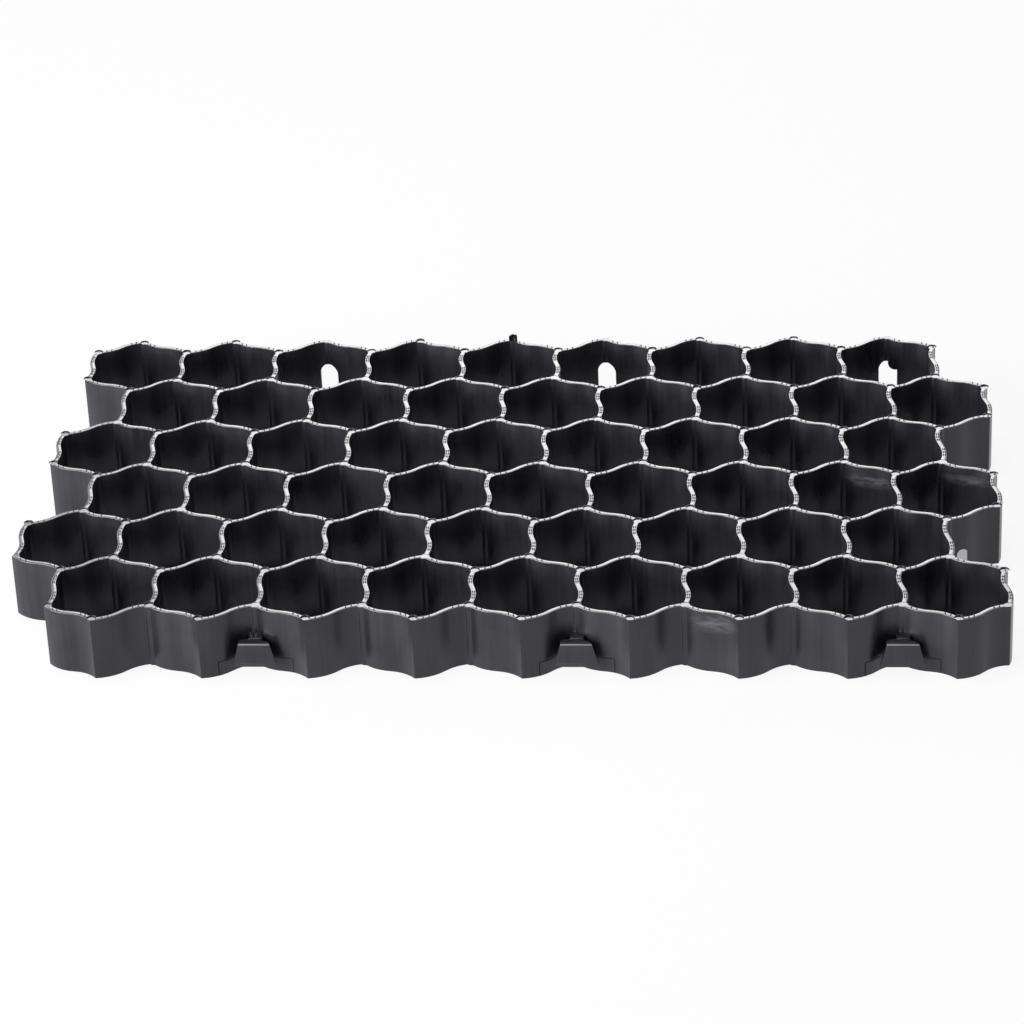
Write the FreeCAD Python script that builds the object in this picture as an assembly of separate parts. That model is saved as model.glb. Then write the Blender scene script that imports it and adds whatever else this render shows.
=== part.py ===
# Grass paver grid: one injection moulded honeycomb of 54 cells in 6 rows of 9.
#
# Every wall is a gentle S in plan, two tangent arcs that are the same seen from either end.
# Short flats follow the arcs, and round posts stand where walls meet. The walls of the rim stand
# half a wall and half a clearance inside the cells' own lines, so that grids laid side by side
# keep one pitch over the whole surface. Three hooks on the front edge reach through three arched
# windows in the next grid's back edge. A small window in the right edge takes the hook of the
# grid beside it.
#
# The grid lies flat: X runs along the rows, Y from the front row to the back row, Z is up.
# The origin is the middle of the underside.

import FreeCAD, Part
import math
import os
from FreeCAD import Vector

# Layout of the cells, in millimetres
CELLS_PER_ROW = 9
ROWS = 6
CELL_PITCH = 65.1        # from cell to cell along a row
ROW_PITCH = 64.3         # from row to row
CORNER_RISE = 17.6       # how far a cell's front and back corners stand beyond its side walls

# Walls and posts
GRID_HEIGHT = 40.7
WALL = 3.1
SIDE_WAVE = 1.8          # how far a side wall's S swings from its straight line
SLANT_WAVE = 1.7         # the same for the slanting walls
POST_DIAMETER = 6.4
ARC_FLATS = 3            # small flats that follow each arc of a wall
POST_FLATS = 2           # the same for the part of a post that shows between two walls
RIM_CLEARANCE = 1.5      # left between the walls of neighbouring grids

# Coupling hooks on the front edge and the windows in the back edge that they reach through
COUPLED_CELLS = (2, 5, 8)       # every third cell of a row
WINDOW_HEIGHT = 24.0
NECK_HEADROOM = 0.9             # between the top of the neck and the top of the window
NECK_WIDTH = 8.8
NECK_CLEARANCE = 1.9            # at each side of the neck in the window
NECK_REACH = 10.5               # from the valley's corner to the front of the neck
NECK_CHAMFER = 1.4              # least chamfer on the neck's upper edges
NECK_CORNER_CLEARANCE = 0.13    # least room between those edges and the window's arch
HEAD_TOP = 22.3
HEAD_BOTTOM = 6.3
HEAD_BEVEL_START = 9.8          # height where the head's front face turns back towards the wall
HEAD_BEVEL = 0.8
HEAD_TOP_WIDTH = 19.2
HEAD_BOTTOM_WIDTH = 27.6
HEAD_REACH = 16.6               # from the valley's corner to the front face of the head
HEAD_CLEARANCE = 0.4            # between the back of the head and the next grid's walls
HEAD_BACK_FLATS = 2             # flats that follow the next grid's wall at each side of the neck

# Side coupling: a small window in a slanting wall of the right edge
SIDE_ROW = 3                    # the row counted from the back, with the back row as 0
SIDE_WINDOW_WIDTH = 6.6
SIDE_WINDOW_HEIGHT = 18.0
SIDE_WINDOW_FROM_CORNER = 10.0  # along the row, from the valley's corner to the window's middle

# Flash left by moulding: the back half of a thin ring that stands on one post of the back edge
FLASH_CELL = 4
FLASH_HEIGHT = 3.7
FLASH_RADIUS = 2.9
FLASH_THICKNESS = 0.6
FLASH_SET_IN = 1.3              # from the walls' corner to the middle of the ring

SIDE_WALL_LENGTH = ROW_PITCH - CORNER_RISE
SLANT = math.atan2(CORNER_RISE, CELL_PITCH / 2)
POST_RADIUS = POST_DIAMETER / 2
RIM_INSET = (WALL + RIM_CLEARANCE) / 2


def cell_centre(row, cell):
    """Middle of a cell. Every second row is shifted by half a pitch."""
    shift = CELL_PITCH / 4 if row % 2 else -CELL_PITCH / 4
    x = (cell - (CELLS_PER_ROW - 1) / 2) * CELL_PITCH + shift
    y = ((ROWS - 1) / 2 - row) * ROW_PITCH
    return Vector(x, y, 0)


def lattice_corners(row, cell):
    """The six corners of a cell before the rim is set in, anticlockwise from the back corner."""
    centre = cell_centre(row, cell)
    half_width = CELL_PITCH / 2
    side = SIDE_WALL_LENGTH / 2
    tip = side + CORNER_RISE
    offsets = [(0, tip), (-half_width, side), (-half_width, -side),
               (0, -tip), (half_width, -side), (half_width, side)]
    return [centre + Vector(x, y, 0) for x, y in offsets]


def same_point_key(point):
    """Corners of neighbouring cells get the same key."""
    return round(point.x, 3), round(point.y, 3)


def to_length(vector, length):
    return vector * (length / vector.Length)


def left_of(run):
    """The direction that points to the left of a run."""
    return to_length(Vector(-run.y, run.x, 0), 1)


def outer_corners():
    """Corners of the walls that only one cell uses, anticlockwise round the grid."""
    place = {}
    walls = []
    for row in range(ROWS):
        for cell in range(CELLS_PER_ROW):
            corners = lattice_corners(row, cell)
            keys = [same_point_key(corner) for corner in corners]
            place.update(zip(keys, corners))
            walls += zip(keys, keys[1:] + keys[:1])
    shared = set(walls)
    outside = {start: end for start, end in walls if (end, start) not in shared}
    first = min(outside)
    loop = [first]
    while outside[loop[-1]] != first:
        loop.append(outside[loop[-1]])
    return [place[key] for key in loop]


def set_in_rim():
    """The corners of the rim, where its set-in walls meet, found by their places in the lattice."""
    corners = outer_corners()
    rim = {}
    for i, corner in enumerate(corners):
        inward_before = left_of(corner - corners[i - 1])
        inward_after = left_of(corners[(i + 1) % len(corners)] - corner)
        both = inward_before + inward_after
        rim[same_point_key(corner)] = corner + both * (RIM_INSET / (1 + inward_before.dot(inward_after)))
    return rim


RIM = set_in_rim()


def cell_corners(row, cell):
    """The six corners on the centre lines of the walls, anticlockwise from the back corner."""
    return [RIM.get(same_point_key(corner), corner) for corner in lattice_corners(row, cell)]


def circle_meets_circle(centre_a, radius_a, centre_b, radius_b, near):
    """The common point of two circles that lies nearer to a given point."""
    across = centre_b - centre_a
    gap = across.Length
    along = (gap ** 2 + radius_a ** 2 - radius_b ** 2) / (2 * gap)
    aside = math.sqrt(radius_a ** 2 - along ** 2)
    foot = centre_a + to_length(across, along)
    sideways = to_length(Vector(-across.y, across.x, 0), aside)
    return min((foot + sideways, foot - sideways), key=lambda point: (point - near).Length)


def points_about(centre, start, end, flats):
    """Points on the shorter arc about a centre, from its start up to the last before its end."""
    from_angle = math.atan2(start.y - centre.y, start.x - centre.x)
    to_angle = math.atan2(end.y - centre.y, end.x - centre.x)
    sweep = (to_angle - from_angle + math.pi) % (2 * math.pi) - math.pi
    radius = (start - centre).Length
    points = []
    for i in range(flats):
        angle = from_angle + sweep * i / flats
        points.append(centre + Vector(radius * math.cos(angle), radius * math.sin(angle), 0))
    return points


class WaveWall:
    """A wall's centre line from one corner to the next: first it swings right, then left."""

    def __init__(self, start, end):
        self.start = start
        self.end = end
        run = end - start
        wave = SIDE_WAVE if abs(run.x) < WALL else SLANT_WAVE
        half = run.Length / 2
        self.radius = ((half / 2) ** 2 + wave ** 2) / (2 * wave)
        self.middle = (start + end) / 2
        to_centre = left_of(run) * (self.radius - wave)
        self.first_centre = (start + self.middle) / 2 + to_centre
        self.second_centre = (self.middle + end) / 2 - to_centre

    def first_radius(self, offset):
        return self.radius - offset

    def second_radius(self, offset):
        return self.radius + offset

    def middle_point(self, offset):
        """The middle of the wall's face, which lies this far to the left of the centre line."""
        return self.first_centre + to_length(self.middle - self.first_centre, self.first_radius(offset))


def face_outline(corners, offset, post_shows):
    """A closed line along the faces of the walls between these corners.

    Each face lies this far to the left of its wall's centre line. Where a post shows at a
    corner, its round goes into the line, and elsewhere the two faces meet in a sharp edge.
    """
    count = len(corners)
    walls = [WaveWall(corners[i], corners[(i + 1) % count]) for i in range(count)]
    starts = []
    ends = []
    for i, wall in enumerate(walls):
        before = walls[i - 1]
        corner = wall.start
        if post_shows[i]:
            starts.append(circle_meets_circle(corner, POST_RADIUS, wall.first_centre,
                                              wall.first_radius(offset), wall.middle_point(offset)))
            ends.append(circle_meets_circle(corner, POST_RADIUS, before.second_centre,
                                            before.second_radius(offset), before.middle_point(offset)))
        else:
            edge = circle_meets_circle(wall.first_centre, wall.first_radius(offset),
                                       before.second_centre, before.second_radius(offset), corner)
            starts.append(edge)
            ends.append(edge)
    points = []
    for i, wall in enumerate(walls):
        if post_shows[i]:
            points += points_about(corners[i], ends[i], starts[i], POST_FLATS)
        middle = wall.middle_point(offset)
        points += points_about(wall.first_centre, starts[i], middle, ARC_FLATS)
        points += points_about(wall.second_centre, middle, ends[(i + 1) % count], ARC_FLATS)
    return Part.makePolygon(points + points[:1])


def turns_inward(corners, i):
    """True at a valley of the outline, where a third wall runs into the grid."""
    before = corners[i] - corners[i - 1]
    after = corners[(i + 1) % len(corners)] - corners[i]
    return before.x * after.y - before.y * after.x < 0


def honeycomb():
    """All walls and posts as one extruded section with a hole for each cell."""
    corners = list(RIM.values())
    valleys = [turns_inward(corners, i) for i in range(len(corners))]
    outlines = [face_outline(corners, -WALL / 2, valleys)]
    for row in range(ROWS):
        for cell in range(CELLS_PER_ROW):
            outlines.append(face_outline(cell_corners(row, cell), WALL / 2, [True] * 6))
    section = Part.makeFace(outlines, "Part::FaceMakerBullseye")
    return section.extrude(Vector(0, 0, GRID_HEIGHT))


def arched_opening(foot, width, height, depth):
    """A round-topped opening from the floor up, cut from front to back through a wall."""
    half = width / 2
    spring = height - half
    near = foot + Vector(0, -depth / 2, 0)
    below = near + Vector(0, 0, -WALL)
    left_foot = below + Vector(-half, 0, 0)
    right_foot = below + Vector(half, 0, 0)
    left_spring = near + Vector(-half, 0, spring)
    right_spring = near + Vector(half, 0, spring)
    outline = Part.Wire([
        Part.makeLine(left_spring, left_foot),
        Part.makeLine(left_foot, right_foot),
        Part.makeLine(right_foot, right_spring),
        Part.Arc(right_spring, near + Vector(0, 0, height), left_spring).toShape(),
    ])
    return Part.Face(outline).extrude(Vector(0, depth, 0))


def back_windows():
    """Windows in the back row's back corners for the hooks of the grid behind."""
    width = NECK_WIDTH + 2 * NECK_CLEARANCE
    depth = 2 * (POST_DIAMETER + width / 2)
    return [arched_opening(cell_corners(0, cell)[0], width, WINDOW_HEIGHT, depth)
            for cell in COUPLED_CELLS]


def side_window():
    """The small window in the right edge, in a slanting wall beside the valley of the next row."""
    corners = cell_corners(SIDE_ROW, CELLS_PER_ROW - 1)
    valley, tip = corners[3], corners[4]
    slope = (tip.y - valley.y) / (tip.x - valley.x)
    foot = valley + Vector(SIDE_WINDOW_FROM_CORNER, SIDE_WINDOW_FROM_CORNER * slope, 0)
    depth = 2 * (POST_DIAMETER + SIDE_WINDOW_WIDTH / 2)
    return arched_opening(foot, SIDE_WINDOW_WIDTH, SIDE_WINDOW_HEIGHT, depth)


def prism(points, direction):
    """A straight block with this flat outline."""
    return Part.Face(Part.makePolygon(points + points[:1])).extrude(direction)


def head_back(x):
    """Where the back of a head stands in front of its valley's corner, this far beside the middle.

    It follows the inner face of the next grid's wall, which slants away from its tip and waves
    towards the hook at the left and away from it at the right.
    """
    tip = (WALL + RIM_CLEARANCE) / math.cos(SLANT)
    wall_length = CELL_PITCH / 2 / math.cos(SLANT)
    wave = SLANT_WAVE * math.sin(2 * math.pi * x / math.cos(SLANT) / wall_length)
    face = (WALL / 2 + wave + HEAD_CLEARANCE) / math.cos(SLANT)
    return tip + abs(x) * math.tan(SLANT) + face


def hook(valley):
    """A neck that stands out of a valley's post and widens into a tapered head.

    The head is what three outlines have in common: seen from the front, the side and above.
    """
    neck = NECK_WIDTH / 2
    top_half = HEAD_TOP_WIDTH / 2
    foot_half = HEAD_BOTTOM_WIDTH / 2

    def front_point(x, z):
        return valley + Vector(x, 0, z)

    def side_point(reach, z):
        return valley + Vector(-foot_half, -reach, z)

    def top_point(x, reach):
        return valley + Vector(x, -reach, HEAD_BOTTOM)

    seen_from_front = prism([
        front_point(-foot_half, HEAD_BOTTOM), front_point(foot_half, HEAD_BOTTOM),
        front_point(top_half, HEAD_TOP), front_point(-top_half, HEAD_TOP),
    ], Vector(0, -HEAD_REACH, 0))
    seen_from_side = prism([
        side_point(0, HEAD_BOTTOM), side_point(HEAD_REACH - HEAD_BEVEL, HEAD_BOTTOM),
        side_point(HEAD_REACH, HEAD_BEVEL_START), side_point(HEAD_REACH, HEAD_TOP),
        side_point(0, HEAD_TOP),
    ], Vector(HEAD_BOTTOM_WIDTH, 0, 0))
    beside = [neck + (foot_half - neck) * i / HEAD_BACK_FLATS for i in range(HEAD_BACK_FLATS + 1)]
    back = [top_point(x, head_back(x)) for x in [-x for x in reversed(beside)] + beside]
    front = [top_point(foot_half, HEAD_REACH), top_point(-foot_half, HEAD_REACH)]
    seen_from_above = prism(back + front, Vector(0, 0, HEAD_TOP))
    head = seen_from_front.common(seen_from_side).common(seen_from_above)
    neck_top = WINDOW_HEIGHT - NECK_HEADROOM
    arch = neck + NECK_CLEARANCE
    room = NECK_HEADROOM - NECK_CORNER_CLEARANCE
    chamfer = max(NECK_CHAMFER, neck - math.sqrt(room * (2 * arch - room)))
    neck_block = prism([
        front_point(-neck, HEAD_BOTTOM), front_point(neck, HEAD_BOTTOM),
        front_point(neck, neck_top - chamfer), front_point(neck - chamfer, neck_top),
        front_point(chamfer - neck, neck_top), front_point(-neck, neck_top - chamfer),
    ], Vector(0, -NECK_REACH, 0))
    return head.fuse(neck_block)


def front_hooks():
    """One hook in the valley at the left of each coupled cell of the front row."""
    return [hook(cell_corners(ROWS - 1, cell)[2]) for cell in COUPLED_CELLS]


def flash():
    """The half ring of flash on top of its post."""
    middle = cell_corners(0, FLASH_CELL)[0] + Vector(0, -FLASH_SET_IN, GRID_HEIGHT)
    disc = Part.makeCylinder(FLASH_RADIUS, FLASH_HEIGHT, middle, Vector(0, 0, 1), 180)
    hollow = Part.makeCylinder(FLASH_RADIUS - FLASH_THICKNESS, FLASH_HEIGHT, middle)
    return disc.cut(hollow)


grid = honeycomb()
grid = grid.cut(back_windows() + [side_window()])
grid = grid.fuse(front_hooks() + [flash()]).removeSplitter()

box = grid.BoundBox
print("solids", len(grid.Solids), "faces", len(grid.Faces), "valid", grid.isValid())
print("size", round(box.XLength, 2), round(box.YLength, 2), round(box.ZLength, 2))
print("volume in cubic centimetres", round(grid.Volume / 1000, 1))

os.makedirs("parts", exist_ok=True)
grid.Solids[0].exportStep("parts/paver_grid.step")
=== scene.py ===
# %% [markdown]
# # A grass paver grid
# The object is one injection moulded grid of black recycled plastic: 54 waved cells that hold
# gravel or turf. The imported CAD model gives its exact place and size. This lesson builds a finer
# mesh in its place, with rounded edges, pin marks, grip dots and flash, and finishes it as
# moulded plastic. Everything is in metres, in the CAD model's own frame.

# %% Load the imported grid
import math
import random
import bmesh
import bpy
from mathutils import Matrix, Vector


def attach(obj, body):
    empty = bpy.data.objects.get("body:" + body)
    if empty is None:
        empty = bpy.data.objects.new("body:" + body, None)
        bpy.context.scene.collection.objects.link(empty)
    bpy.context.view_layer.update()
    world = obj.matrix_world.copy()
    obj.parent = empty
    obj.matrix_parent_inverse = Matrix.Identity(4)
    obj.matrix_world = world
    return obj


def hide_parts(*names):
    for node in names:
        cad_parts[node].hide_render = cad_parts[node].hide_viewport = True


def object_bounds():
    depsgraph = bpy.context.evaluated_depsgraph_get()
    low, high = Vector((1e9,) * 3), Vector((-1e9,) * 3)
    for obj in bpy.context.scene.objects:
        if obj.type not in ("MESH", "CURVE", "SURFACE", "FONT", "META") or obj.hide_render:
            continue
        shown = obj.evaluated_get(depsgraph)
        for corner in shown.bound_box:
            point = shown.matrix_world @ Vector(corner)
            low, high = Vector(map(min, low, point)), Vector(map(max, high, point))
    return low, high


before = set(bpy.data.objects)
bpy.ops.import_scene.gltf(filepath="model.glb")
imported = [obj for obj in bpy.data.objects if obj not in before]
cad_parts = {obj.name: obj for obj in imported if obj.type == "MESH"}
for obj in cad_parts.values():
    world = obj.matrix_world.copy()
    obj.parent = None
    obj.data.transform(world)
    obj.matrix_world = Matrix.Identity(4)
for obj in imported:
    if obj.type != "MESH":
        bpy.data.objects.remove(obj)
cad_box = [list(corner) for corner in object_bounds()]
mm = 0.001
dice = random.Random(54)

# %% [markdown]
# ## The camera
# The photograph looks down on the front edge from a little to the right, through a long lens. The
# camera's place was found by matching the tops of all walls with the photograph. It is given as
# the direction of view, the distance to the middle of the grid's upper face, and the place of
# that middle in the picture, which becomes a small lens shift.

# %% Camera
VIEW_ELEVATION = math.radians(26.77)
VIEW_TURN = math.radians(-5.116)
VIEW_ROLL = math.radians(-2.524)
VIEW_DISTANCE = 2.3008
AIM = Vector((0, 0, 40 * mm))
PIXELS_PER_METRE = 1542.3          # at the point of aim
AIM_IN_PICTURE = (516.8, 469.3)
PICTURE = 1024
SENSOR = 36

forward = Vector((math.sin(VIEW_TURN) * math.cos(VIEW_ELEVATION),
                  math.cos(VIEW_TURN) * math.cos(VIEW_ELEVATION),
                  -math.sin(VIEW_ELEVATION)))
level_right = Vector((math.cos(VIEW_TURN), -math.sin(VIEW_TURN), 0))
level_up = level_right.cross(forward)
right = math.cos(VIEW_ROLL) * level_right + math.sin(VIEW_ROLL) * level_up
up = math.cos(VIEW_ROLL) * level_up - math.sin(VIEW_ROLL) * level_right
camera = bpy.data.objects.new("camera", bpy.data.cameras.new("camera"))
bpy.context.scene.collection.objects.link(camera)
camera.matrix_world = Matrix((right, up, -forward)).transposed().to_4x4()
camera.location = AIM - VIEW_DISTANCE * forward
camera.data.sensor_width = SENSOR
camera.data.lens = PIXELS_PER_METRE * VIEW_DISTANCE / PICTURE * SENSOR
camera.data.shift_x = (PICTURE / 2 - AIM_IN_PICTURE[0]) / PICTURE
camera.data.shift_y = (AIM_IN_PICTURE[1] - PICTURE / 2) / PICTURE
bpy.context.scene.camera = camera
print("lens", round(camera.data.lens, 1), "mm")

# %% [markdown]
# ## The plan of the cells
# All cells are alike: six corners on a slightly squashed hexagon, in rows that step sideways by
# half a pitch. The walls at the rim stand a little inside the cells' own lines, which leaves room
# between laid grids. The same sizes as in the CAD source put every wall in the same place.

# %% Sizes of the plan
CELLS_PER_ROW = 9
ROWS = 6
CELL_PITCH = 65.1 * mm
ROW_PITCH = 64.3 * mm
CORNER_RISE = 17.6 * mm            # how far a cell's tips stand beyond its side walls
HEIGHT = 40.7 * mm
WALL = 3.1 * mm
SIDE_WAVE = 1.8 * mm               # how far a side wall swings from its straight line
SLANT_WAVE = 1.7 * mm              # the same for the slanting walls
POST_RADIUS = 3.2 * mm
RIM_CLEARANCE = 1.5 * mm           # between laid grids
RIM_INSET = (WALL + RIM_CLEARANCE) / 2
print(ROWS * CELLS_PER_ROW, "cells, rim set in by", round(RIM_INSET / mm, 2), "mm")

# %% Corners of a cell
def key(point):
    """A corner's name: its place in the plan to a tenth of a millimetre."""
    return round(point.x / mm, 1), round(point.y / mm, 1)


def lattice_corners(row, cell):
    """The six corners of a cell, anticlockwise from the back corner."""
    shift = CELL_PITCH / 4 if row % 2 else -CELL_PITCH / 4
    middle = Vector(((cell - (CELLS_PER_ROW - 1) / 2) * CELL_PITCH + shift,
                     ((ROWS - 1) / 2 - row) * ROW_PITCH, 0))
    half = CELL_PITCH / 2
    side = (ROW_PITCH - CORNER_RISE) / 2
    tip = side + CORNER_RISE
    offsets = [(0, tip), (-half, side), (-half, -side), (0, -tip), (half, -side), (half, side)]
    return [middle + Vector((x, y, 0)) for x, y in offsets]


everywhere = [(row, cell) for row in range(ROWS) for cell in range(CELLS_PER_ROW)]
print("the first cell's corners", [key(corner) for corner in lattice_corners(0, 0)])

# %% Set-in rim
def left_of(run):
    return Vector((-run.y, run.x, 0)).normalized()


def rim_corners():
    """Where the set-in walls of the rim meet, anticlockwise, by their places in the lattice."""
    place = {}
    walls = []
    for row, cell in everywhere:
        corners = lattice_corners(row, cell)
        place.update((key(corner), corner) for corner in corners)
        walls += [(key(corners[i - 1]), key(corners[i])) for i in range(6)]
    shared = set(walls)
    following = {a: b for a, b in walls if (b, a) not in shared}
    loop = [min(following)]
    while following[loop[-1]] != loop[0]:
        loop.append(following[loop[-1]])
    moved = {}
    for i, name in enumerate(loop):
        before = left_of(place[name] - place[loop[i - 1]])
        after = left_of(place[loop[(i + 1) % len(loop)]] - place[name])
        moved[name] = place[name] + (before + after) * (RIM_INSET / (1 + before.dot(after)))
    return moved


RIM = rim_corners()


def cell_corners(row, cell):
    return [RIM.get(key(corner), corner) for corner in lattice_corners(row, cell)]


print(len(RIM), "corners on the rim")

# %% [markdown]
# ## Drawing the waved outlines
# Each wall is an S of two equal arcs. A face line of a wall keeps the arcs' centres and changes
# their radius. One vertex spun about the arc's centre draws it. Where a post shows between two
# walls, a third short arc goes round the post.

# %% Waved walls
def meeting(centre_a, radius_a, centre_b, radius_b, near):
    """The common point of two circles that lies nearer to a given point."""
    across = centre_b - centre_a
    along = (across.length ** 2 + radius_a ** 2 - radius_b ** 2) / (2 * across.length)
    aside = math.sqrt(radius_a ** 2 - along ** 2)
    foot = centre_a + across.normalized() * along
    sideways = left_of(across) * aside
    return min((foot + sideways, foot - sideways), key=lambda point: (point - near).length)


def runs_to_back(start, end):
    """True for a side wall, false for a slanting one."""
    return abs(end.x - start.x) < WALL


class WaveWall:
    """A wall from one corner to the next: it swings first to the right, then to the left."""

    def __init__(self, start, end):
        self.start = start
        run = end - start
        wave = SIDE_WAVE if runs_to_back(start, end) else SLANT_WAVE
        self.radius = ((run.length / 4) ** 2 + wave ** 2) / (2 * wave)
        self.middle = (start + end) / 2
        to_centre = left_of(run) * (self.radius - wave)
        self.first_centre = (start + self.middle) / 2 + to_centre
        self.second_centre = (self.middle + end) / 2 - to_centre

    def middle_point(self, offset):
        to_middle = (self.middle - self.first_centre).normalized()
        return self.first_centre + to_middle * (self.radius - offset)


side_wall = WaveWall(*lattice_corners(0, 0)[1:3])
print("a side wall's arcs have a radius of", round(side_wall.radius / mm, 1), "mm")

# %% Outlines
ARC_STEPS = 5
POST_STEPS = 3


def spin_arc(bm, centre, start, end, steps):
    """Draw the shorter arc about a centre by spinning one vertex."""
    first = bmesh.ops.create_vert(bm, co=start)["vert"][0]
    sweep = (start - centre).xy.angle_signed((end - centre).xy)
    bmesh.ops.spin(bm, geom=[first], cent=centre, axis=(0, 0, 1), angle=-sweep, steps=steps)


def draw_outline(bm, corners, offset, shows_post):
    """Draw the closed line along the faces of the walls between these corners."""
    walls = [WaveWall(corners[i - 1], corners[i]) for i in range(len(corners))]
    starts = []
    ends = []
    for i, wall in enumerate(walls):
        before = walls[i - 1]
        corner = wall.start
        first = wall.first_centre, wall.radius - offset
        last = before.second_centre, before.radius + offset
        if shows_post(corner):
            starts.append(meeting(corner, POST_RADIUS, *first, wall.middle_point(offset)))
            ends.append(meeting(corner, POST_RADIUS, *last, before.middle_point(offset)))
        else:
            edge = meeting(*first, *last, corner)
            starts.append(edge)
            ends.append(edge)
    for i, wall in enumerate(walls):
        middle = wall.middle_point(offset)
        if shows_post(wall.start):
            spin_arc(bm, wall.start, ends[i], starts[i], POST_STEPS)
        spin_arc(bm, wall.first_centre, starts[i], middle, ARC_STEPS)
        spin_arc(bm, wall.second_centre, middle, ends[(i + 1) % len(walls)], ARC_STEPS)


print("each wall has", 2 * ARC_STEPS, "short flats on either side")

# %% [markdown]
# ## The body of the grid
# The whole grid is one moulding, so it becomes one mesh. All outlines are drawn on the floor and
# extruded upwards in rings. The first ring and the last three step back into the material, which
# gives the walls the small rounds that a real mould leaves. Each vertex remembers which way its
# open side lies for that. The creases between walls and posts get a fillet. Filling between the
# outlines closes the upper and lower faces.

# %% Outlines of all cells and of the rim
SAME_PLACE = 0.01 * mm

cells_at = {}                      # how many cells meet at each corner
for row, cell in everywhere:
    for corner in lattice_corners(row, cell):
        cells_at[key(corner)] = cells_at.get(key(corner), 0) + 1
valleys = {key(RIM[name]) for name in RIM if cells_at[name] == 2}
body = bmesh.new()
open_side = body.verts.layers.float_vector.new("open_side")
for row, cell in everywhere:
    draw_outline(body, cell_corners(row, cell), WALL / 2, lambda corner: True)
draw_outline(body, list(RIM.values())[::-1], WALL / 2, lambda corner: key(corner) in valleys)
bmesh.ops.remove_doubles(body, verts=body.verts, dist=SAME_PLACE)
print(len(valleys), "valleys in the rim,", len(body.verts), "points drawn")

# %% Fillets in the creases
FILLET = 0.6 * mm
CREASE_ANGLE = math.radians(30)


def closed_loops(bm):
    """Each outline as its vertices in order, with the open side on the left."""
    loops = []
    seen = set()
    for first in bm.verts:
        if first not in seen:
            loop = [first]
            edge = first.link_edges[0]
            while edge.other_vert(loop[-1]) != first:
                loop.append(edge.other_vert(loop[-1]))
                edge = next(other for other in loop[-1].link_edges if other != edge)
            seen.update(loop)
            loops.append(loop)
    areas = [sum(loop[i - 1].co.x * v.co.y - loop[i - 1].co.y * v.co.x for i, v in enumerate(loop))
             for loop in loops]
    outside = max(areas, key=abs)
    return [loop if (area > 0) != (area == outside) else loop[::-1]
            for loop, area in zip(loops, areas)]


def left_turn(loop, i):
    """How sharply an outline turns to the left at one of its vertices."""
    before = loop[i].co - loop[i - 1].co
    after = loop[(i + 1) % len(loop)].co - loop[i].co
    return -before.xy.angle_signed(after.xy)


creases = [loop[i] for loop in closed_loops(body) for i in range(len(loop))
           if left_turn(loop, i) > CREASE_ANGLE]
bmesh.ops.bevel(body, geom=creases, affect="VERTICES", offset=FILLET, segments=3, profile=0.5,
                material=-1, clamp_overlap=True)
for loop in closed_loops(body):
    for i, vert in enumerate(loop):
        vert[open_side] = left_of(loop[(i + 1) % len(loop)].co - loop[i - 1].co)
print(len(creases), "creases filleted,", len(body.verts), "points")

# %% Walls with rounded edges
EDGE_ROUND = 0.35 * mm
FOOT_ROUND = 0.2 * mm
ROUND_STEP = 30                    # degrees from ring to ring of the upper round


def raise_ring(bm, edges, lift, set_back, open_side):
    """Extrude the outlines upwards, and move the new ring back into the material."""
    made = bmesh.ops.extrude_edge_only(bm, edges=edges)["geom"]
    for vert in made:
        if isinstance(vert, bmesh.types.BMVert):
            vert.co += Vector((0, 0, lift)) - Vector(vert[open_side]) * set_back
    return [edge for edge in made if isinstance(edge, bmesh.types.BMEdge)]


foot = list(body.edges)
for vert in body.verts:
    vert.co -= Vector(vert[open_side]) * FOOT_ROUND
ring = raise_ring(body, foot, FOOT_ROUND, -FOOT_ROUND, open_side)
ring = raise_ring(body, ring, HEIGHT - FOOT_ROUND - EDGE_ROUND, 0, open_side)
for tilt in range(0, 90, ROUND_STEP):
    lift = math.sin(math.radians(tilt + ROUND_STEP)) - math.sin(math.radians(tilt))
    back = math.cos(math.radians(tilt)) - math.cos(math.radians(tilt + ROUND_STEP))
    ring = raise_ring(body, ring, lift * EDGE_ROUND, back * EDGE_ROUND, open_side)
bmesh.ops.triangle_fill(body, edges=ring, use_beauty=True, normal=(0, 0, 1))
bmesh.ops.triangle_fill(body, edges=foot, use_beauty=True, normal=(0, 0, -1))
bmesh.ops.recalc_face_normals(body, faces=body.faces)
print("body", len(body.faces), "faces, open edges", sum(edge.is_boundary for edge in body.edges))

# %% [markdown]
# ## Windows and pin marks
# Three arched windows in the back edge and a small one in the right edge let the hooks of the
# neighbouring grids in. Steel pins push the grid out of its mould at the posts, and each leaves
# a round sunk mark. All of them are cut at once: one mesh of cutters and one Boolean modifier.

# %% Window cutters
WINDOWED_CELLS = (2, 5, 8)
WINDOW_WIDTH = 12.6 * mm
WINDOW_HEIGHT = 24.0 * mm
SIDE_ROW = 3
SIDE_WINDOW_WIDTH = 6.6 * mm
SIDE_WINDOW_HEIGHT = 18.0 * mm
SIDE_WINDOW_FROM_CORNER = 10.0 * mm
CUTTER_LENGTH = 24 * mm


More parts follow.
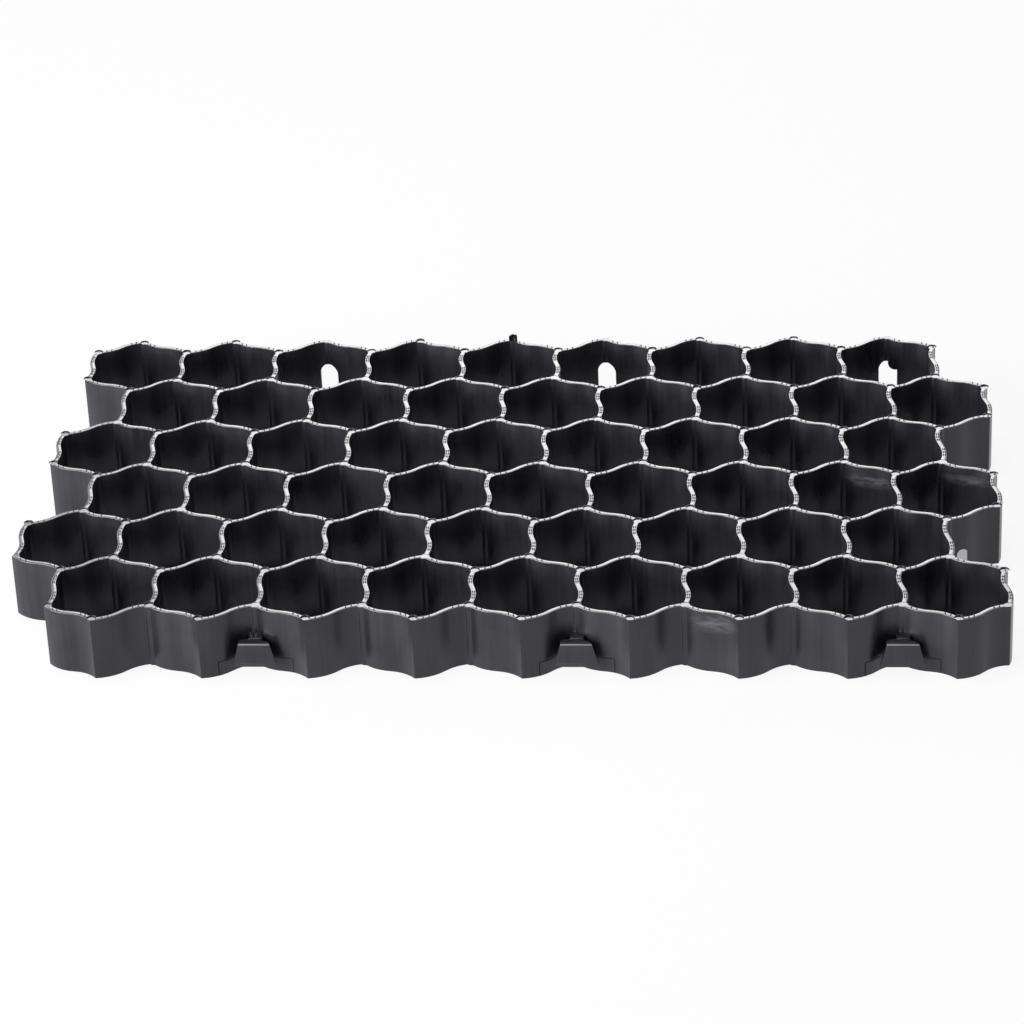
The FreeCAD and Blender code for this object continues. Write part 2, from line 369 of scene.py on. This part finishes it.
def cut_arch(bm, foot, width, height):
    """A round-topped block that stands through a wall: a half disc, its foot drawn down."""
    disc = bmesh.ops.create_circle(bm, cap_ends=True, segments=32, radius=width / 2)["verts"]
    bmesh.ops.rotate(bm, verts=disc, matrix=Matrix.Rotation(math.radians(90), 3, "X"))
    for vert in disc:
        if vert.co.z < -SAME_PLACE:
            vert.co.z = -height
            vert.co.x = math.copysign(width / 2, vert.co.x) if abs(vert.co.x) > SAME_PLACE else 0
    place = foot + Vector((0, CUTTER_LENGTH / 2, height - width / 2))
    bmesh.ops.translate(bm, verts=disc, vec=place)
    face = disc[0].link_faces[0]
    made = bmesh.ops.extrude_face_region(bm, geom=[face], use_keep_orig=True)["geom"]
    moved = [v for v in made if isinstance(v, bmesh.types.BMVert)]
    bmesh.ops.translate(bm, verts=moved, vec=(0, -CUTTER_LENGTH, 0))


cutters = bmesh.new()
for cell in WINDOWED_CELLS:
    cut_arch(cutters, cell_corners(0, cell)[0], WINDOW_WIDTH, WINDOW_HEIGHT)
valley, tip = cell_corners(SIDE_ROW, CELLS_PER_ROW - 1)[3:5]
slope = (tip.y - valley.y) / (tip.x - valley.x)
side_foot = valley + Vector((SIDE_WINDOW_FROM_CORNER, SIDE_WINDOW_FROM_CORNER * slope, 0))
cut_arch(cutters, side_foot, SIDE_WINDOW_WIDTH, SIDE_WINDOW_HEIGHT)
print("window cutters", len(cutters.faces), "faces")

# %% Pin cutters
PIN_RADIUS = 2.9 * mm
PIN_DEPTHS = (0.1, 0.25)           # millimetres, from least to most
PIN_SET_IN = 0.6 * mm              # from a tip of the rim inwards
BACK_PIN_SET_IN = 1.3 * mm         # the same for the tips that point straight back


def all_corners():
    """Every corner once: its place, if its side wall runs to the back, and the way in at a tip."""
    found = {}
    for row, cell in everywhere:
        corners = cell_corners(row, cell)
        middle = sum(corners, Vector()) / 6
        for i, name in enumerate(map(key, lattice_corners(row, cell))):
            inward = (middle - corners[i]).normalized() if cells_at[name] == 1 else Vector()
            found[name] = (corners[i], i in (0, 2, 4), inward)
    return found


def cut_round(bm, middle, radius, low, high):
    """A round cutter from one height to another."""
    place = Matrix.Translation(middle + Vector((0, 0, (low + high) / 2)))
    bmesh.ops.create_cone(bm, cap_ends=True, segments=24, radius1=radius, radius2=radius,
                          depth=high - low, matrix=place)


windowed = [key(lattice_corners(0, cell)[0]) for cell in WINDOWED_CELLS]
pin_marks = []
for name, (place, stem_to_back, inward) in all_corners().items():
    if name not in windowed:
        middle = place + inward * (BACK_PIN_SET_IN if inward.y < -0.9 else PIN_SET_IN)
        depth = dice.uniform(*PIN_DEPTHS) * mm
        pin_marks.append((middle, stem_to_back))
        cut_round(cutters, middle, PIN_RADIUS, HEIGHT - depth, HEIGHT + 1 * mm)
bmesh.ops.remove_doubles(cutters, verts=cutters.verts, dist=SAME_PLACE)
bmesh.ops.recalc_face_normals(cutters, faces=cutters.faces)
print(len(pin_marks), "pin marks")

# %% Cut the grid
SHARP_ANGLE = math.radians(40)


def as_object(name, bm):
    """Turn a bmesh into an object of the scene, with smooth faces."""
    mesh = bpy.data.meshes.new(name)
    bm.to_mesh(mesh)
    bm.free()
    thing = bpy.data.objects.new(name, mesh)
    bpy.context.scene.collection.objects.link(thing)
    mesh.shade_smooth()
    return thing


grid = as_object("waved_grid", body)
cutter = as_object("cutter", cutters)
cut = grid.modifiers.new("windows_and_pins", "BOOLEAN")
cut.object = cutter
cut.operation = "DIFFERENCE"
cut.solver = "MANIFOLD"
cut_grid = grid.evaluated_get(bpy.context.evaluated_depsgraph_get())
done = bpy.data.meshes.new_from_object(cut_grid)
grid.modifiers.clear()
bpy.data.objects.remove(cutter)
print("cut grid", len(done.polygons), "faces")

# %% [markdown]
# The cut leaves points that lie on the straight edge between two others. With such a point
# removed, the thin triangle beside it closes too, and every edge keeps exactly two faces.

# %% Clean the cut grid
cleaned = bmesh.new()
cleaned.from_mesh(done)
bmesh.ops.remove_doubles(cleaned, verts=cleaned.verts, dist=SAME_PLACE / 10)
bmesh.ops.dissolve_degenerate(cleaned, dist=SAME_PLACE / 10, edges=cleaned.edges)
spare = [vert for vert in cleaned.verts if len(vert.link_edges) == 2]
bmesh.ops.dissolve_verts(cleaned, verts=spare)
cleaned.to_mesh(done)
odd = sum(not edge.is_manifold for edge in cleaned.edges)
cleaned.free()
grid.data = done
grid.data.name = "waved_grid"
grid.data.set_sharp_from_angle(angle=SHARP_ANGLE)
print("grid", len(done.polygons), "faces, spare points", len(spare), "odd edges", odd)

# %% [markdown]
# ## Coupling hooks
# Three hooks stand out of the valleys of the front edge. Each has a neck, which passes under the
# next grid's window, and a tapered head behind its wall. The head starts as its own outline seen
# from above, is drawn up, narrowed at the top and bevelled. Its back follows the waved wall of
# the next grid, so its left side is thicker than its right side. The right tip runs out to a thin
# edge below the bevel, so only the edges above it are rounded.

# %% Head of a hook
HEAD_TOP = 22.3 * mm
HEAD_BOTTOM = 6.3 * mm
HEAD_BEVEL_START = 9.8 * mm        # height where the front face turns back towards the wall
HEAD_BEVEL = 0.8 * mm
HEAD_TOP_WIDTH = 19.2 * mm
HEAD_BOTTOM_WIDTH = 27.6 * mm
HEAD_REACH = 16.6 * mm             # from the valley's corner to the front face
HEAD_CLEARANCE = 0.4 * mm
HEAD_STEPS = 12
SLANT = math.atan2(CORNER_RISE, CELL_PITCH / 2)


def head_back(x):
    """How far in front of the valley's corner the back of the head stands, beside the middle."""
    wall_length = CELL_PITCH / 2 / math.cos(SLANT)
    wave = SLANT_WAVE * math.sin(2 * math.pi * x / math.cos(SLANT) / wall_length)
    face = WALL / 2 + wave + HEAD_CLEARANCE + WALL + RIM_CLEARANCE
    return abs(x) * math.tan(SLANT) + face / math.cos(SLANT)


def is_at_front(place):
    return place.y < 0.1 * mm - HEAD_REACH


def once(items):
    """The items in their order, each only once; a set would change their order from run to run."""
    return list(dict.fromkeys(items))


def add_head(bm, valley):
    """The tapered head: its lower outline drawn up, narrowed and bevelled at the foot."""
    half = HEAD_BOTTOM_WIDTH / 2
    across = [half * (i / HEAD_STEPS * 2 - 1) for i in range(HEAD_STEPS + 1)]
    rim = [Vector((x, -head_back(x), HEAD_BOTTOM)) for x in across]
    rim += [Vector((x, -HEAD_REACH, HEAD_BOTTOM)) for x in (half, -half)]
    outline = [bm.verts.new(valley + point) for point in rim]
    plan = bmesh.ops.contextual_create(bm, geom=outline)["faces"]
    made = bmesh.ops.extrude_face_region(bm, geom=plan, use_keep_orig=True)["geom"]
    top = [v for v in made if isinstance(v, bmesh.types.BMVert)]
    for vert in top:
        at = vert.co - valley
        x = at.x * HEAD_TOP_WIDTH / HEAD_BOTTOM_WIDTH
        vert.co = valley + Vector((x, at.y if is_at_front(at) else -head_back(x), HEAD_TOP))
    faces = once(plan + [face for vert in top for face in vert.link_faces])
    edges = once(edge for face in faces for edge in face.edges)
    verts = once(vert for face in faces for vert in face.verts)
    bmesh.ops.bisect_plane(bm, geom=verts + edges + faces, dist=SAME_PLACE / 10,
                           plane_co=(0, 0, HEAD_BEVEL_START), plane_no=(0, 0, 1))
    for vert in outline:
        if is_at_front(vert.co - valley):
            vert.co.y += HEAD_BEVEL


print("the head is", round((HEAD_REACH - head_back(-HEAD_TOP_WIDTH / 2)) / mm, 1), "mm thick at the "
      "top left,", round((HEAD_REACH - head_back(HEAD_TOP_WIDTH / 2)) / mm, 1), "mm at the top right")

# %% Neck and hooks
NECK_WIDTH = 8.8 * mm
NECK_TOP = 23.1 * mm
NECK_REACH = 10.5 * mm
NECK_LIFT = 1 * mm                 # of the neck's foot above the head's
NECK_CHAMFER = 1.4 * mm
HOOK_ROUND = 0.38 * mm


def add_neck(bm, valley):
    """The block between the wall and the head, chamfered along its upper sides."""
    bottom = HEAD_BOTTOM + NECK_LIFT
    neck = bmesh.ops.create_cube(bm, size=1)["verts"]
    bmesh.ops.scale(bm, verts=neck, vec=(NECK_WIDTH, NECK_REACH, NECK_TOP - bottom))
    middle = Vector((0, -NECK_REACH / 2, (NECK_TOP + bottom) / 2))
    bmesh.ops.translate(bm, verts=neck, vec=valley + middle)
    upper = [edge for edge in once(edge for vert in neck for edge in vert.link_edges)
             if min(vert.co.z for vert in edge.verts) > HEAD_TOP
             and abs(edge.verts[0].co.x - edge.verts[1].co.x) < mm]
    bmesh.ops.bevel(bm, geom=upper, affect="EDGES", offset=NECK_CHAMFER, segments=2, profile=0.5,
                    material=-1)


hooks = bmesh.new()
hook_valleys = [cell_corners(ROWS - 1, cell)[2] for cell in WINDOWED_CELLS]
for valley in hook_valleys:
    add_head(hooks, valley)
    add_neck(hooks, valley)
bmesh.ops.remove_doubles(hooks, verts=hooks.verts, dist=10 * SAME_PLACE)
bmesh.ops.recalc_face_normals(hooks, faces=hooks.faces)
corners = [edge for edge in hooks.edges if edge.calc_face_angle(0) > CREASE_ANGLE
           and min(vert.co.z for vert in edge.verts) > HEAD_BEVEL_START - 0.1 * mm]
bmesh.ops.bevel(hooks, geom=corners, affect="EDGES", offset=HOOK_ROUND, segments=3, profile=0.5,
                material=-1, clamp_overlap=False)
hook_pieces = as_object("coupling_hooks", hooks)
hook_pieces.data.set_sharp_from_angle(angle=SHARP_ANGLE)
print("hooks", len(hook_pieces.data.polygons), "faces")

# %% [markdown]
# ## Grip dots
# The upper edges carry small raised dots that keep shoes and tyres from slipping: two groups of
# six on each side wall, two pairs on each slanting wall. There are over a thousand, so each is a
# plain low cone of eight sides.

# %% Places of the dots
SIDE_SHARES = (0.193, 0.275, 0.357, 0.643, 0.725, 0.807)    # of a side wall's length
SLANT_SHARES = (0.17, 0.27, 0.73, 0.83)
DOT_ASIDE = 0.6 * mm


def along_wall(wall, share):
    """A point on a wall's centre line and the direction there, at this share of its length."""
    centre = wall.first_centre if share < 0.5 else wall.second_centre
    start = wall.start if share < 0.5 else wall.middle
    end = wall.middle if share < 0.5 else 2 * wall.middle - wall.start
    sweep = -(start - centre).xy.angle_signed((end - centre).xy)
    turn = Matrix.Rotation(sweep * (share * 2 % 1), 3, "Z")
    spoke = turn @ (start - centre)
    return centre + spoke, left_of(spoke) * math.copysign(1, sweep)


def all_walls():
    found = {}
    for row, cell in everywhere:
        names = [key(corner) for corner in lattice_corners(row, cell)]
        corners = cell_corners(row, cell)
        for i in range(6):
            found[tuple(sorted((names[i - 1], names[i])))] = (corners[i - 1], corners[i])
    return [WaveWall(*ends) for ends in found.values()]


dot_places = []
for wall in all_walls():
    is_side = runs_to_back(wall.start, wall.middle)
    for share in SIDE_SHARES if is_side else SLANT_SHARES:
        place, direction = along_wall(wall, share)
        for aside in (-DOT_ASIDE, DOT_ASIDE) if is_side else (0,):
            dot_places.append(place + left_of(direction) * aside)
print(len(dot_places), "dots")

# %% Dots
DOT_RADIUS = 0.62 * mm
DOT_HEIGHT = 0.8 * mm
DOT_SINK = 0.1 * mm                # how far a dot's foot stands in the wall

dots = bmesh.new()
for place in dot_places:
    middle = place + Vector((0, 0, HEIGHT + (DOT_HEIGHT - DOT_SINK) / 2))
    bmesh.ops.create_cone(dots, cap_ends=True, segments=8, radius1=DOT_RADIUS,
                          radius2=DOT_RADIUS * 0.4, depth=DOT_HEIGHT + DOT_SINK,
                          matrix=Matrix.Translation(middle))
grip_dots = as_object("grip_dots", dots)
grip_dots.data.set_sharp_from_angle(angle=SHARP_ANGLE)
print("dots", len(grip_dots.data.polygons), "faces")

# %% [markdown]
# ## Flash
# Worn pins leave thin fins of plastic round their marks. One mark on the back edge has a tall
# half ring, others have low ones. A small upright strip spun about the pin's middle makes each
# ring, and its upper edge is roughened.

# %% Rings of flash
RING_STEPS = 12
TALL_CELL = 4                      # the cell of the back row whose tip has the tall ring
TALL_RADIUS = 2.9 * mm
TALL_THICKNESS = 0.6 * mm
TALL_FOOT = 0.3 * mm               # how far the tall ring starts below the upper face
TALL_HEIGHT = 4.0 * mm
LOW_RADIUS = PIN_RADIUS + 0.1 * mm
LOW_THICKNESS = 0.25 * mm
LOW_FOOT = 0.4 * mm
LOW_CHANCE = 0.85                  # of a ring where the corner's side wall runs to the back


def add_ring(bm, middle, radius, thickness, height, start, sweep, roughness):
    """Spin an upright strip about a pin mark, from one direction through an angle."""
    foot = [bmesh.ops.create_vert(bm, co=middle + Vector((r, 0, 0)))["vert"][0]
            for r in (radius - thickness, radius)]
    head = [bmesh.ops.create_vert(bm, co=vert.co + Vector((0, 0, height)))["vert"][0]
            for vert in foot]
    strip = bmesh.ops.contextual_create(bm, geom=foot + head)["faces"]
    geometry = strip + list(strip[0].edges) + foot + head
    turn = Matrix.Rotation(start, 3, "Z")
    bmesh.ops.rotate(bm, verts=foot + head, cent=middle, matrix=turn)
    before = len(bm.verts)
    bmesh.ops.spin(bm, geom=geometry, cent=middle, axis=(0, 0, 1), angle=sweep, steps=RING_STEPS)
    tops = {}
    for vert in list(bm.verts)[before:]:
        if vert.co.z > middle.z + height / 2:
            at = vert.co - middle
            step = round(math.atan2(at.y, at.x) * RING_STEPS)
            tops.setdefault(step, dice.uniform(1 - roughness, 1))
            vert.co.z = middle.z + height * tops[step]


flash = bmesh.new()
tall = cell_corners(0, TALL_CELL)[0] + Vector((0, -BACK_PIN_SET_IN, 0))
add_ring(flash, tall + Vector((0, 0, HEIGHT - TALL_FOOT)), TALL_RADIUS, TALL_THICKNESS,
         TALL_HEIGHT, 0, math.pi, 0.2)
for middle, stem_to_back in pin_marks:
    if (middle - tall).length > PIN_RADIUS and (not stem_to_back or dice.random() < LOW_CHANCE):
        rise = (dice.uniform(0.4, 0.75) if stem_to_back else dice.uniform(0.55, 0.95)) * mm
        start = dice.uniform(-0.3, 0.3)
        add_ring(flash, middle + Vector((0, 0, HEIGHT - LOW_FOOT)), LOW_RADIUS, LOW_THICKNESS,
                 rise + LOW_FOOT, start, math.pi - start + dice.uniform(-0.2, 0.4), 0.25)
print("rings", len(flash.faces), "faces")

# %% [markdown]
# A few fins have broken off to a point, mostly along the right rim. A curl of flash hangs in the
# third window, and crumbs of plastic stick to the neck of the first hook.

# %% Points, curl and crumbs
POINT_RADIUS = 0.5 * mm
POINT_LENGTH = 2.4 * mm
POINT_RISE = 0.9 * mm              # from the upper face to the middle of a point
CURL_RADIUS = 5.2 * mm
CRUMBS = 8

right_rim = [RIM[key(lattice_corners(row, CELLS_PER_ROW - 1)[corner])]
             for row, corner in ((0, 5), (3, 5), (1, 4), (5, 5), (5, 4))]
right_rim[-1] = right_rim[-1] + Vector((0, 14 * mm, 0))
left_point = Vector((-261.5, -63.7, 0)) * mm
points = list(zip(right_rim + [left_point], (0.9, 1.1, 0.7, 0.3, -0.2, -0.4)))
for place, lean in points:
    upright = Matrix.Translation(place + Vector((0, 0, HEIGHT))) @ Matrix.Rotation(lean, 4, "Y")
    bmesh.ops.create_cone(flash, cap_ends=True, segments=6, radius1=POINT_RADIUS,
                          radius2=POINT_RADIUS / 10, depth=POINT_LENGTH,
                          matrix=upright @ Matrix.Translation((0, 0, POINT_RISE)))
curl = cell_corners(0, WINDOWED_CELLS[-1])[0] + Vector((CURL_RADIUS, 0.4 * mm, WINDOW_HEIGHT - 3.0 * mm))
bmesh.ops.create_cone(flash, cap_ends=True, segments=24, radius1=CURL_RADIUS,
                      radius2=CURL_RADIUS - 0.2 * mm, depth=0.5 * mm,
                      matrix=Matrix.Translation(curl) @ Matrix.Rotation(math.radians(80), 4, "X"))
for crumb in range(CRUMBS):
    aside = Vector((dice.uniform(-3.8, 3.8), dice.uniform(-9, -4), 0)) * mm
    place = hook_valleys[0] + aside + Vector((0, 0, NECK_TOP + 0.2 * mm))
    bmesh.ops.create_cone(flash, cap_ends=True, segments=6, radius1=dice.uniform(0.6, 1.1) * mm,
                          radius2=0.2 * mm, depth=3 * mm, matrix=Matrix.Translation(place))
bmesh.ops.recalc_face_normals(flash, faces=flash.faces)
flash_fins = as_object("flash_fins", flash)
flash_fins.data.set_sharp_from_angle(angle=SHARP_ANGLE)
print(len(points), "points,", CRUMBS, "crumbs, flash", len(flash_fins.data.polygons), "faces")

# %% [markdown]
# ## Inside the CAD box
# Arcs of straight pieces and the flash at the back tips can stand out of the CAD model's box by a
# few hundredths of a millimetre. Every vertex is brought back to the box.

# %% Trim to the box
moulded = (grid, hook_pieces, grip_dots, flash_fins)
trimmed = 0
for piece in moulded:
    for vert in piece.data.vertices:
        limits = zip(vert.co, *cad_box)
        inside = Vector([min(max(value, low), high) for value, low, high in limits])
        trimmed += inside != vert.co
        vert.co = inside
print(trimmed, "vertices brought back")

# %% [markdown]
# ## Shader maths
# A material's patterns are sums and products of noise and of distances. Written as Math nodes
# they are hard to read, so one small class turns plain Python expressions into those nodes.

# %% A field of values
class Field:
    """A value, colour or vector in a material. Arithmetic on values adds Math nodes."""

    def __init__(self, tree, socket=None):
        self.tree = tree
        self.socket = socket

    def node(self, kind, settings=None, values=None, output=0):
        """Add a node of this type: its settings first, then values or links for its sockets."""
        made = self.tree.nodes.new(kind)
        for name, value in (settings or {}).items():
            setattr(made, name, value)
        for name, value in (values or {}).items():
            if isinstance(value, Field):
                self.tree.links.new(value.socket, made.inputs[name])
            else:
                made.inputs[name].default_value = value
        return Field(self.tree, made.outputs[output])

    def maths(self, operation, first, second):
        return self.node("ShaderNodeMath", {"operation": operation}, {0: first, 1: second})

    def __add__(self, other):
        return self.maths("ADD", self, other)

    def __radd__(self, other):
        return self.maths("ADD", other, self)

    def __sub__(self, other):
        return self.maths("SUBTRACT", self, other)

    def __rsub__(self, other):
        return self.maths("SUBTRACT", other, self)

    def __mul__(self, other):
        return self.maths("MULTIPLY", self, other)

    def size(self):
        return self.maths("ABSOLUTE", self, 0.0)

    def between(self, low, high):
        """0 up to the low value, 1 from the high value, and a straight ramp between them."""
        values = {"Value": self, "From Min": low, "From Max": high}
        return self.node("ShaderNodeMapRange", None, values)


def new_material(name):
    material = bpy.data.materials.new(name)
    material.use_nodes = True
    tree = material.node_tree
    shader = tree.nodes["Principled BSDF"]
    return material, Field(tree), shader


def mix_colour(field, share, first, second):
    """Blend two colours; the Mix node's colour sockets are its seventh and eighth."""
    values = {0: share, 6: first, 7: second}
    return field.node("ShaderNodeMix", {"data_type": "RGBA"}, values, output=2)


print("a Field adds, subtracts, multiplies, takes sizes and ramps")

# %% [markdown]
# ## Black recycled plastic
# The plastic is black with a satin skin. Recycled material isn't even: the walls show faint
# upright streaks from the flow and the draw out of the mould, soft lighter clouds, and a fine
# grain. Noise gives all of them, and noise squeezed in one direction gives the streaks.

# %% Streaks, clouds and grain
material, field, shader = new_material("black_recycled_plastic")
place = field.node("ShaderNodeTexCoord", output=3)


def noise(scale, squeeze=None, **settings):
    """Noise over the object's own coordinates, which can first be squeezed."""
    vector = place
    if squeeze:
        vector = field.node("ShaderNodeMapping", None, {"Vector": place, "Scale": squeeze})
    return field.node("ShaderNodeTexNoise", None, {"Vector": vector, "Scale": scale, **settings})


streaks = noise(420, squeeze=(1, 1, 0.03), Detail=3)
clouds = noise(28, Detail=3, Roughness=0.55)
grain = noise(2600, Detail=2)
ripple = noise(75, Detail=3)
x, y, z = (field.node("ShaderNodeSeparateXYZ", None, {"Vector": place}, output=i) for i in range(3))
print("plastic patterns", len(material.node_tree.nodes), "nodes")

# %% [markdown]
# The photograph shows more on this one piece. The mould has an insert about each hook, and its
# outline is a thin line on the wall. The upper front edges of the heads get a painted highlight, a
# pale line. Pale smears lie on a few walls. The walls' upper faces are glossier, from the polished
# mould half.

# %% Insert lines and painted highlights on the heads
INSERT_HALF_WIDTH = 22.6 * mm
INSERT_HEIGHT = 9.6 * mm
LINE_CORE = 0.25 * mm
LINE_EDGE = 0.5 * mm
SOFT = 0.2 * mm
FRONT_WALLS = (-0.165, -0.16)      # the line fades out between these, from front to back
HEAD_SIDE = HEAD_BOTTOM_WIDTH / 2 + 0.1 * mm
HEAD_TOP_SIDE = HEAD_TOP_WIDTH / 2 + SOFT

insert_line = 0
over_head = 0
for valley in hook_valleys:
    beside = (x - valley.x).size()
    over_head = over_head + (1 - beside.between(HEAD_TOP_SIDE, HEAD_TOP_SIDE + 2 * SOFT))
    upright_line = ((1 - (beside - INSERT_HALF_WIDTH).size().between(LINE_CORE, LINE_EDGE))
                    * (1 - z.between(INSERT_HEIGHT, INSERT_HEIGHT + SOFT)))
    level_line = ((1 - (z - INSERT_HEIGHT).size().between(LINE_CORE, LINE_EDGE))
                  * beside.between(HEAD_SIDE, HEAD_SIDE + SOFT)
                  * (1 - beside.between(INSERT_HALF_WIDTH, INSERT_HALF_WIDTH + SOFT)))
    insert_line = insert_line + upright_line + level_line
insert_line = insert_line * (1 - y.between(*FRONT_WALLS)) * 0.9
front_of_heads = hook_valleys[0].y - HEAD_REACH
# A painted highlight: the upper front edges of the heads are painted pale.
painted_highlight_edge = (over_head * z.between(HEAD_TOP - 0.9 * mm, HEAD_TOP - 0.5 * mm)
               * (1 - z.between(HEAD_TOP + 0.1 * mm, HEAD_TOP + 0.2 * mm))
               * (1 - y.between(front_of_heads + 0.8 * mm, front_of_heads + 1.0 * mm)))
print("lines about", len(hook_valleys), "hooks")

# %% Smears and the glossy upper faces
SMEARS = (((0.132, -0.190, 0.033), (0.018, 0.02, 0.007)),   # middle and reach of each
          ((0.291, 0.000, 0.032), (0.020, 0.02, 0.0045)),
          ((0.228, 0.000, 0.031), (0.020, 0.02, 0.006)))

wisps = noise(500, squeeze=(0.3, 0.3, 1), Detail=3)
smear = 0
for middle, reach in SMEARS:
    away = field.node("ShaderNodeVectorMath", {"operation": "SUBTRACT"}, {0: place, 1: middle})
    away = field.node("ShaderNodeVectorMath", {"operation": "DIVIDE"}, {0: away, 1: reach})
    away = field.node("ShaderNodeVectorMath", {"operation": "LENGTH"}, {0: away}, output=1)
    smear = smear + (1 - away.between(0.3, 1.0))
smear = smear * wisps.between(0.3, 0.7)
upper_face = (z.between(HEIGHT - 0.6 * mm, HEIGHT - 0.3 * mm)
              * (1 - z.between(HEIGHT + 0.05 * mm, HEIGHT + 0.15 * mm)))
print(len(SMEARS), "smears")

# %% Colour, roughness and bump
DARK = (0.008, 0.0078, 0.0105, 1)
LIGHTER = (0.024, 0.0235, 0.029, 1)
SMEARED = (0.10, 0.10, 0.11, 1)
# The pale colour of the painted highlight on the heads' upper front edges.
HEAD_HIGHLIGHT_COLOUR = (0.22, 0.22, 0.23, 1)
LINE = (0.002, 0.002, 0.003, 1)

tone = streaks.between(0.35, 0.75) * 0.4 + clouds.between(0.35, 0.7) * 0.6
colour = mix_colour(field, tone, DARK, LIGHTER)
colour = mix_colour(field, smear, colour, SMEARED)
# The painted highlight along the heads' upper front edges.
colour = mix_colour(field, painted_highlight_edge * 0.8, colour, HEAD_HIGHLIGHT_COLOUR)
colour = mix_colour(field, insert_line, colour, LINE)
roughness = 0.15 + clouds * 0.2 + grain * 0.04 + streaks * 0.08 + smear * 0.1 + insert_line
relief = streaks * 0.6 + grain * 0.4 + ripple * 2.5 - insert_line * 4.0
bump = field.node("ShaderNodeBump", None, {"Height": relief, "Strength": 0.25, "Distance": 0.0002})
field.tree.links.new(colour.socket, shader.inputs["Base Color"])
field.tree.links.new(roughness.socket, shader.inputs["Roughness"])
field.tree.links.new(bump.socket, shader.inputs["Normal"])
field.tree.links.new(upper_face.socket, shader.inputs["Coat Weight"])
shader.inputs["Specular Tint"].default_value = (0.93, 0.94, 1.0, 1)
shader.inputs["Coat Roughness"].default_value = 0.18
shader.inputs["Specular IOR Level"].default_value = 0.55
print("plastic", len(material.node_tree.nodes), "nodes")

# %% Plastic on the pieces
for piece in moulded:
    piece.data.materials.clear()
    piece.data.materials.append(material)
    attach(piece, "root")
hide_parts("paver_grid")
print("plastic on", [piece.name for piece in moulded])

# %% [markdown]
# ## Floor
# The photograph has a pure white ground, but the ground seen through the side window is grey. So
# the large floor is nearly plain white for the camera and for mirrored rays and keeps only a faint
# shadow. A second piece of floor inside the grid's outline shows the shade between the walls.

# %% Pale floor
FLOOR_HALF = 12
FLOOR_DROP = 0.3 * mm              # below the grid's feet, so that no faces coincide


def background_seen(field):
    """1 for rays from the camera, and for those that a shiny or clear surface sends on."""
    rays = [field.node("ShaderNodeLightPath", output=name)
            for name in ("Is Camera Ray", "Is Glossy Ray", "Is Transmission Ray")]
    return field.maths("MINIMUM", rays[0] + rays[1] + rays[2], 1.0)


def floor_skin(name, white_share):
    """Pale floor whose colour is partly plain white where it is seen as the background."""
    material, field, shader = new_material(name)
    speck = field.node("ShaderNodeTexNoise", None, {"Scale": 40, "Detail": 2})
    colour = mix_colour(field, speck, (0.88, 0.88, 0.88, 1), (0.92, 0.92, 0.92, 1))
    field.tree.links.new(colour.socket, shader.inputs["Base Color"])
    shader.inputs["Roughness"].default_value = 0.9
    white = field.node("ShaderNodeEmission", None, {"Strength": 1.0})
    seen = background_seen(field) * white_share
    lit = Field(field.tree, shader.outputs["BSDF"])
    mixed = field.node("ShaderNodeMixShader", None, {0: seen, 1: lit, 2: white})
    surface = field.tree.nodes["Material Output"].inputs["Surface"]
    field.tree.links.new(mixed.socket, surface)
    return material


floor_mesh = bmesh.new()
bmesh.ops.create_grid(floor_mesh, x_segments=4, y_segments=4, size=FLOOR_HALF)
bmesh.ops.translate(floor_mesh, verts=floor_mesh.verts, vec=(0, 0, -FLOOR_DROP))
floor = as_object("pale_floor", floor_mesh)
floor.data.materials.append(floor_skin("pale_floor", 0.9))
print("floor", 2 * FLOOR_HALF, "m wide")

# %% Floor in the cells
CELL_FLOOR_DROP = 0.2 * mm

under_mesh = bmesh.new()
draw_outline(under_mesh, list(RIM.values())[::-1], 0, lambda corner: False)
bmesh.ops.remove_doubles(under_mesh, verts=under_mesh.verts, dist=SAME_PLACE)
bmesh.ops.triangle_fill(under_mesh, edges=under_mesh.edges, use_beauty=True, normal=(0, 0, 1))
bmesh.ops.recalc_face_normals(under_mesh, faces=under_mesh.faces)
bmesh.ops.translate(under_mesh, verts=under_mesh.verts, vec=(0, 0, -CELL_FLOOR_DROP))
floor_in_cells = as_object("floor_in_cells", under_mesh)
floor_in_cells.data.materials.append(floor_skin("floor_in_cells", 0.0))
print("floor in the cells", len(floor_in_cells.data.polygons), "faces")

# %% [markdown]
# ## Room and lamps
# The bright upper edges come from one broad softbox low behind the grid: at this flat angle its
# reflection covers them, while it hardly reaches into the cells. A second softbox in front at the
# left lights the walls that face it, and a third above lights the floor in the cells, which the
# walls reflect. The room itself is white as a background and lights the grid only a little.

# %% White room
ROOM_LIGHT = 0.08

world = bpy.data.worlds.new("white_room")
bpy.context.scene.world = world
world.use_nodes = True
room = Field(world.node_tree)
background = world.node_tree.nodes["Background"]
background.inputs["Color"].default_value = (1, 1, 1, 1)
strength = ROOM_LIGHT + background_seen(room) * (1 - ROOM_LIGHT)
world.node_tree.links.new(strength.socket, background.inputs["Strength"])
bpy.context.scene.view_settings.view_transform = "Standard"
print("room nodes", len(world.node_tree.nodes))

# %% Softboxes
def add_softbox(name, place, width, height, power):
    """A rectangular lamp that faces the object's middle."""
    lamp = bpy.data.lights.new(name, "AREA")
    lamp.shape = "RECTANGLE"
    lamp.size = width
    lamp.size_y = height
    lamp.energy = power
    holder = bpy.data.objects.new(name, lamp)
    bpy.context.scene.collection.objects.link(holder)
    holder.location = place
    holder.rotation_euler = (-holder.location).to_track_quat("-Z", "Y").to_euler()
    holder.visible_camera = False
    print(name, power, "W at", place)


add_softbox("rear_softbox", (-0.18, 3.2, 1.65), 1.7, 1.4, 28)
add_softbox("left_softbox", (-2.5, -1.7, 1.0), 2.2, 1.6, 140)
add_softbox("top_softbox", (-0.5, 0.15, 2.4), 1.2, 1.2, 26)
